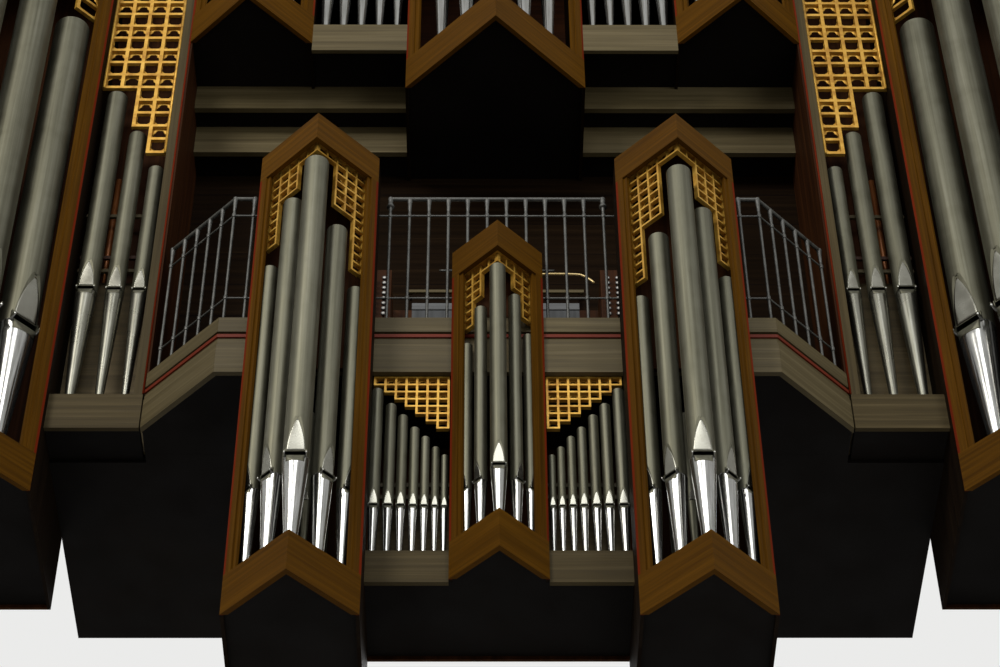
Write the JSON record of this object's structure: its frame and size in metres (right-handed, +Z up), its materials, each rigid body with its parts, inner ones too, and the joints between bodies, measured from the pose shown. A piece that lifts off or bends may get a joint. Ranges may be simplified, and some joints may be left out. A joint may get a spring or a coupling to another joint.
{
  "type": "pipe organ on a gallery",
  "caption": "Church pipe organ: pointed towers of tin pipes in a hanging front case, side fields and an upper case round a railed gallery with keydesk.",
  "frame": {"origin": "on the underside of the gallery floor, on the middle line, 1500 mm behind the gallery front", "axes": "+X to the listener's right, +Y from the listener to the back of the organ, +Z up"},
  "size_m": [8.32, 3.023, 9.525],
  "materials": {
    "ochre_wood": "satin golden brown veneer",
    "taupe_wood": "satin grey brown veneer",
    "inner_wood": "oiled warm brown boards",
    "red_paint": "satin red paint",
    "black_soffit": "matt black stain",
    "gold_grille": "gilded",
    "tin_pipe": "burnished tin alloy",
    "steel_rail": "satin grey",
    "desk_grey": "satin grey lacquer",
    "key_white": "satin ivory",
    "knob_black": "polished black"
  },
  "bodies": {
    "root": {"gallery_floor": "red_paint", "gallery_front": "taupe_wood", "gallery_sides": "taupe_wood", "front_railing": "steel_rail", "side_railings": "steel_rail", "front_case_sides": "red_paint", "front_case_back": "inner_wood", "front_case_decks": "black_soffit", "front_flat_boards": "taupe_wood", "front_outer_towers": "ochre_wood", "front_middle_tower": "ochre_wood", "front_tower_sides": "red_paint", "front_tower_backs": "ochre_wood", "front_outer_pipes": "tin_pipe", "front_middle_pipes": "tin_pipe", "front_flat_pipes": "tin_pipe", "front_outer_grilles": "gold_grille", "front_middle_grille": "gold_grille", "front_flat_grilles": "gold_grille", "side_fields": "taupe_wood", "side_backs": "inner_wood", "side_decks": "black_soffit", "side_pipes": "tin_pipe", "side_field_grilles": "gold_grille", "pedal_towers": "ochre_wood", "pedal_side_boards": "red_paint", "pedal_pipes": "tin_pipe", "pedal_grilles": "gold_grille", "player_wall": "inner_wood", "main_side_walls": "red_paint", "back_wall": "inner_wood", "upper_decks": "black_soffit", "upper_roofs": "inner_wood", "soffit_beams": "taupe_wood", "upper_middle_tower": "ochre_wood", "upper_outer_towers": "ochre_wood", "upper_side_boards": "red_paint", "upper_flats": "taupe_wood", "upper_middle_pipes": "tin_pipe", "upper_outer_pipes": "tin_pipe", "upper_flat_pipes": "tin_pipe", "upper_grilles": "gold_grille", "keydesk": "desk_grey", "manuals": "key_white", "stop_knobs": "knob_black"}
  },
  "joints": []
}
